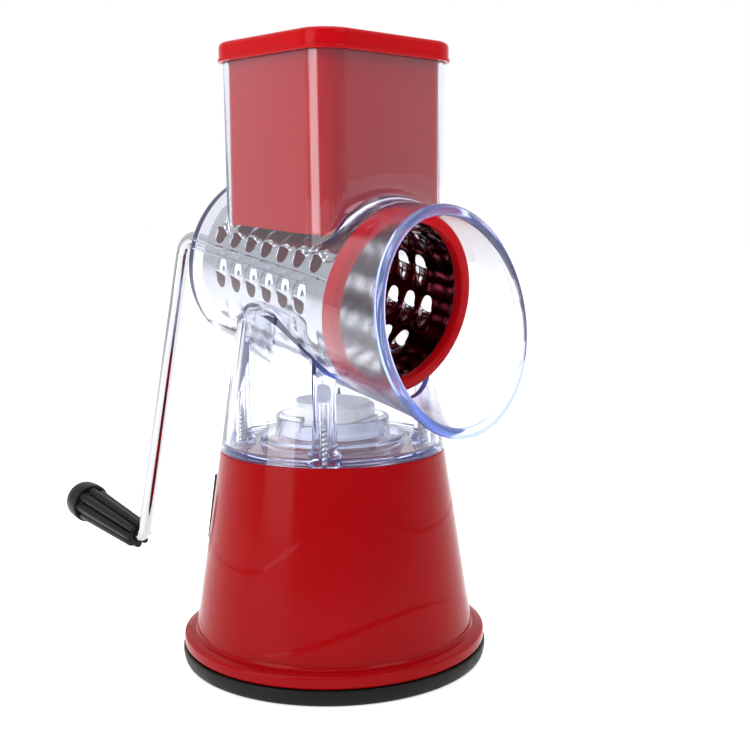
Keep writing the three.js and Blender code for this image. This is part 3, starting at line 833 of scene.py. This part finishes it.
def drum_sheet():
    bm = bmesh.new()
    ups = sorted(tile_edge(k)[0] for k in range(2, 11))
    rows = sorted([(angle, PER_ROW) for angle in SHORT_ROWS]
                  + [(angle, PER_ROW + 1) for angle in LONG_ROWS])
    for i, (angle, count) in enumerate(rows):
        u0 = -math.radians(angle - OPENING) * DRUM_R
        first = FIRST_SLOT - (count - PER_ROW) * TILE_ALONG / 2
        for k in range(count):
            tooth_tile(bm, u0, first + k * TILE_ALONG)
        own = [u0 + u for u in ups]
        plain_sheet(bm, own, DRUM_ENDS[0], first - TILE_ALONG / 2)
        plain_sheet(bm, own, first + (count - 0.5) * TILE_ALONG, DRUM_ENDS[1])
        gap = math.radians(rows[(i + 1) % len(rows)][0] - angle) % math.tau * DRUM_R - TILE_UP
        if gap > 0.1:
            plain_sheet(bm, [own[0] - gap * k / 3 for k in (3, 2, 1, 0)], *DRUM_ENDS)
    for vert in bm.verts:
        u, v, height = vert.co
        radius = DRUM_R + height
        vert.co = (radius * math.cos(-u / DRUM_R), radius * math.sin(-u / DRUM_R), v)
    bmesh.ops.remove_doubles(bm, verts=bm.verts, dist=0.02)
    bmesh.ops.recalc_face_normals(bm, faces=bm.faces)
    outward = sum(f.normal.dot(Vector((*f.calc_center_median().xy, 0))) for f in bm.faces)
    if outward < 0:
        bmesh.ops.reverse_faces(bm, faces=bm.faces)
    print("open edges:", sum(1 for e in bm.edges if len(e.link_faces) == 1))
    return bm


drum = piece(
    "punched_drum", drum_sheet(), STEEL, "drum", ["drum_shell"], 60,
    ON_AXIS,
)
thickness = drum.modifiers.new("sheet", "SOLIDIFY")
thickness.thickness = 0.5 * MM
thickness.offset = -1
rounding = drum.modifiers.new("rounding", "SUBSURF")
rounding.levels = 1
rounding.render_levels = 1

# %% [markdown]
# The drum's red ends are turned: a ring round the open end, and at the back a plate whose stub
# shaft leaves the housing and carries the thread for the crank.

# %% Drum ends and crank hub
piece("drum_collar", turned([
    (35.3, 42, 0.2), (38.7, 42, 0.4), (39.3, 42.8, 0.3), (39.3, 48, 0.8), (38.3, 49, 0.6),
    (34.9, 49, 0.7), (34.2, 48.2, 0.4), (34.2, 44.3, 0.2), (35.3, 44.3, 0.1),
], 192), BRIGHT_RED, "drum", ["drum_front_ring"], 40, ON_AXIS)

piece("drum_end_plate", turned([
    (0, -72, 0), (8.4, -72, 0.2), (9.4, -71, 0.2), (9.4, -60, 0.1), (10.4, -60, 0.1),
    (11, -59.4, 0.2), (11, -47.5, 0.4), (33.9, -47.5, 0.4), (33.9, -44.5, 0.4),
    (29, -44.5, 0.6), (27.5, -46, 0.6), (14, -46, 0.6), (12.5, -44.5, 0.6), (0, -44.5, 0),
], 160, False), RED, "drum", ["drum_hub"], 40, ON_AXIS)


def crank_hub():
    bm = turned([
        (9.7, -60.3, 0.2), (11.5, -60.3, 0.3), (12.5, -61.3, 0.4), (12.5, -76, 1), (10, -80, 0.8),
        (3.8, -80, 0.3), (3.8, -74.7, 0.1), (0.01, -74.7, 0), (0.01, -72.3, 0), (9.7, -72.3, 0.1),
    ], 96)
    grooves = [
        ("DIFFERENCE", post(1.5, -75, -62.5, 13.1 * math.cos(a), 13.1 * math.sin(a), 12))
        for a in (math.tau * k / 12 for k in range(12))
    ]
    return combine(bm, *grooves)


piece("crank_nut", crank_hub(), RED, "drum", ["crank_hub"], 35, ON_AXIS)

# %% [markdown]
# The crank is one chrome rod. A circle is extruded down each straight leg, and each bend is a
# spin of the end ring about the bend's own centre, which is how a bender would form it.

# %% Crank rod
CRANK_ANGLE = math.radians(-95.6)
ROD_R = 3.5
ROD_START = -75
ARM = 166
ELBOW_AT = -116.6
TOP_BEND = 10
LOW_BEND = 6
arm_way = Vector((math.cos(CRANK_ANGLE), math.sin(CRANK_ANGLE), 0))
arm_foot = arm_way * ARM + Vector((0, 0, ELBOW_AT))


def leg(bm, ring, way, length):
    grown = bmesh.ops.extrude_edge_only(bm, edges=ring)["geom"]
    verts = [v for v in grown if isinstance(v, bmesh.types.BMVert)]
    bmesh.ops.translate(bm, verts=verts, vec=way * length)
    return [e for e in grown if isinstance(e, bmesh.types.BMEdge)
            and all(v in verts for v in e.verts)]


def bend(bm, ring, centre, axis, degrees, steps):
    verts = list({v for e in ring for v in e.verts})
    spun = bmesh.ops.spin(
        bm, geom=ring + verts, cent=centre, axis=axis, angle=math.radians(degrees), steps=steps,
        use_merge=False,
    )
    return [e for e in spun["geom_last"] if isinstance(e, bmesh.types.BMEdge)]


def crank_rod():
    bm = bmesh.new()
    bmesh.ops.create_circle(bm, segments=28, radius=ROD_R, cap_ends=False)
    bmesh.ops.translate(bm, verts=bm.verts, vec=(0, 0, ROD_START))
    ring = bm.edges[:]
    start = ring[:]
    down = Vector((0, 0, -1))
    across = down.cross(arm_way)
    ring = leg(bm, ring, down, ROD_START - (ELBOW_AT + TOP_BEND))
    ring = bend(bm, ring, arm_way * TOP_BEND + Vector((0, 0, ELBOW_AT + TOP_BEND)), across, 90, 12)
    ring = leg(bm, ring, arm_way, ARM - TOP_BEND - LOW_BEND)
    ring = bend(bm, ring, arm_foot - arm_way * LOW_BEND + down * LOW_BEND, -across, 90, 12)
    ring = leg(bm, ring, down, 50)
    bmesh.ops.contextual_create(bm, geom=ring)
    bmesh.ops.contextual_create(bm, geom=start)
    bmesh.ops.recalc_face_normals(bm, faces=bm.faces)
    return bm


piece("chrome_crank", crank_rod(), CHROME, "drum", ["crank_rod"], 50, ON_AXIS)

# %% [markdown]
# The grip turns on the end of the rod. It is a black star-shaped moulding with eight rounded
# ribs, thinner towards the rod, and a smooth domed cap closes its outer end over the ribs.

# %% Handle
ON_SPINDLE = ON_AXIS @ Matrix.Translation(arm_foot) @ Matrix.Rotation(math.pi, 4, "Y")
RIBS = 8


def grip():
    heights = [4.5, 5.2, 6, 8, 14, 22, 30, 38, 46, 52, 55.5, 57.2, 57.8]
    bm = turned([
        (3.9, heights[0], 0), *[(8 + 2.2 * (h - 6) / 52, h, 0) for h in heights],
        (3.9, heights[-1], 0),
    ], 192)
    for vert in bm.verts:
        radius = math.hypot(vert.co.x, vert.co.y)
        if radius < 5:
            continue
        h = vert.co.z
        wave = 0.5 + 0.5 * math.cos(RIBS * math.atan2(vert.co.y, vert.co.x))
        groove = (1 - wave ** 0.42) * 2.3
        soft_end = max(0, 6 - h) * 0.35
        vert.co.xy *= (radius - groove - soft_end) / radius
    return bm


def end_cap():
    return turned([
        (0.01, 52.5, 0), (8.6, 52.5, 0), (8.6, 56.4, 0.3), (10.6, 56.4, 0.3), (11.3, 57.2, 0.4),
        (11.3, 63, 2.4), (10.4, 67.5, 2.6), (7, 69.6, 2.2), (0.01, 70, 0),
    ], 128, True, 6)


piece("ribbed_grip", grip(), GRIP, "grip", ["handle_grip"], 50, ON_SPINDLE)
piece("domed_cap", end_cap(), GRIP, "grip", ["handle_end_cap"], 35, ON_SPINDLE)

# %% [markdown]
# ## The pusher
# The pusher is a hollow red block. Its underside is arched to the drum and its lower edge leans
# with it, so it presses food down to the last slice. Its rim closes under a square lid with a
# soft top edge and a fine bead round the foot of its skirt.

# %% Pusher
FOOT_AT = 193.5
FOOT_SLOPE = math.atan(0.0786)
PUSHER_HALF = 34.2
PUSHER_CORNER = 8
PUSHER_WALL = 2.2


def below_foot():
    bm = bmesh.new()
    bmesh.ops.create_cube(bm, size=120)
    return moved(bm, Matrix.Translation((0, CHUTE_Y - PUSHER_HALF, FOOT_AT))
                 @ Matrix.Rotation(FOOT_SLOPE, 4, "X") @ Matrix.Translation((0, 0, -60)))


def pusher_body():
    arch = post(39.5, -90, 90, 0, 0, 160, ON_AXIS)
    floor = post(41.7, -90, 90, 0, 0, 160, ON_AXIS)
    block = combine(
        rounded_block(PUSHER_HALF, PUSHER_CORNER, 180, 270.1),
        ("DIFFERENCE", arch), ("DIFFERENCE", below_foot()),
    )
    lower = [
        e for e in block.edges
        if len(e.link_faces) == 2 and e.calc_face_angle(0) > math.radians(40)
        and max(v.co.z for v in e.verts) < 225
    ]
    bmesh.ops.bevel(
        block, geom=lower, offset=3.4, offset_type="OFFSET", segments=5, profile=0.5,
        affect="EDGES", material=-1, clamp_overlap=True,
    )
    room = combine(
        rounded_block(PUSHER_HALF - PUSHER_WALL, PUSHER_CORNER - PUSHER_WALL, 197.5, 276),
        ("DIFFERENCE", floor),
    )
    return combine(block, ("DIFFERENCE", room))


piece("pusher_block", pusher_body(), BRIGHT_RED, "pusher", ["pusher_body"], 40)

# %% Lid
LID_BOTTOM = 266.2
LID_TOP = 274.3
LID_HALF = 39.2
LID_CORNER = 14.5
LID_WALL = 1.4
BEAD_OUT = 0.5


def pusher_lid():
    bm = rounded_block(LID_HALF, LID_CORNER, LID_BOTTOM, LID_TOP, 16)
    top = [
        e for e in bm.edges
        if len(e.link_faces) == 2 and e.calc_face_angle(0) > 1
        and all(v.co.z > LID_TOP - 0.3 for v in e.verts)
    ]
    bmesh.ops.bevel(
        bm, geom=top, offset=2.2, offset_type="OFFSET", segments=6, profile=0.5,
        affect="EDGES", material=-1, clamp_overlap=True,
    )
    bead = rounded_block(
        LID_HALF + BEAD_OUT, LID_CORNER + BEAD_OUT, LID_BOTTOM, LID_BOTTOM + 1.5, 16,
    )
    rim = [e for e in bead.edges if abs(e.verts[0].co.z - e.verts[1].co.z) < 1e-3]
    bmesh.ops.bevel(
        bead, geom=rim, offset=BEAD_OUT, offset_type="OFFSET", segments=3, profile=0.5,
        affect="EDGES", material=-1, clamp_overlap=True,
    )
    room = rounded_block(LID_HALF - LID_WALL, LID_CORNER - LID_WALL, 260, LID_TOP - 3.9)
    return combine(bm, ("UNION", bead), ("DIFFERENCE", room))


piece("pusher_cap", pusher_lid(), BRIGHT_RED, "pusher", ["pusher_lid"], 40)

# %% [markdown]
# ## Hidden pieces
# The suction clamp stays as it was packed: its white cam shows through the neck, and the rubber
# cup, the stem and the lever show from behind and below. They only need their real finishes.

# %% Carried-over pieces
for node, material in {
    "cam_sleeve": ACETAL, "cam_follower": ACETAL, "suction_stem": ZINC, "suction_cup": RUBBER,
    "suction_lever": GRIP,
}.items():
    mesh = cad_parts[node].data
    mesh.materials.clear()
    mesh.materials.append(material)
    print(f"{node} keeps its packed shape in {material.name}")

# %% [markdown]
# ## The studio
# A white sweep, and large soft lights on the left, in front and above. The world is white where it
# shows behind the grater and darker on the camera's side, which draws the thin dark lines that
# make clear plastic and chrome readable.

# %% Floor and lights
floor_bm = bmesh.new()
bmesh.ops.create_grid(floor_bm, x_segments=1, y_segments=1, size=6)
floor_mesh = bpy.data.meshes.new("floor")
floor_bm.to_mesh(floor_mesh)
floor_bm.free()
floor = bpy.data.objects.new("floor", floor_mesh)
bpy.context.scene.collection.objects.link(floor)

paper, paper_tree, paper_output, paper_where = new_material("white_paper_sweep")
paper_shader = add(paper_tree, "BsdfPrincipled", {
    "Base Color": two_colours(paper_tree, noise(paper_tree, paper_where, 40), "#f3f3f4", "#f6f6f6"),
    "Roughness": 0.5, "Emission Color": srgb("#ffffff"), "Emission Strength": 0.5,
})
paper_tree.links.new(paper_shader.outputs[0], paper_output.inputs["Surface"])
floor_mesh.materials.append(paper)


def soft_light(name, place, aim, width, height, power):
    data = bpy.data.lights.new(name, "AREA")
    data.shape = "RECTANGLE"
    data.size = width
    data.size_y = height
    data.energy = power
    lamp = bpy.data.objects.new(name, data)
    lamp.location = place
    lamp.rotation_euler = (Vector(place) - Vector(aim)).to_track_quat("Z", "Y").to_euler()
    bpy.context.scene.collection.objects.link(lamp)


soft_light("left_softbox", (-1.5, 0.1, 0.7), (0, 0, 0.14), 0.9, 1.3, 15)
soft_light("front_softbox", (0.2, -1.5, 1.3), (0, 0, 0.14), 0.9, 0.9, 8)
soft_light("top_softbox", (0, 0, 1.6), (0, 0, 0), 1.4, 1.4, 14)

world = bpy.data.worlds.new("white_tent")
bpy.context.scene.world = world
world.use_nodes = True
tent = world.node_tree
tent.nodes.clear()
way = add(tent, "TexCoord").outputs["Generated"]
towards_camera = add(tent, "VectorMath", {0: way, 1: (back.x, back.y, 0)}, operation="DOT_PRODUCT")
dim = add(tent, "MapRange", {
    "Value": towards_camera.outputs["Value"], "From Min": -0.3, "From Max": 0.5, "To Min": 1.0,
    "To Max": 0.48,
}).outputs["Result"]
seen = add(tent, "LightPath").outputs["Is Camera Ray"]
shade = add(tent, "Mix", {0: seen, 2: dim, 3: 1.0}, data_type="FLOAT")
sky = add(tent, "Background", {"Color": srgb("#ffffff"), "Strength": shade.outputs[0]})
tent.links.new(sky.outputs[0], add(tent, "OutputWorld").inputs["Surface"])
bpy.context.scene.view_settings.view_transform = "Standard"
print("studio ready")
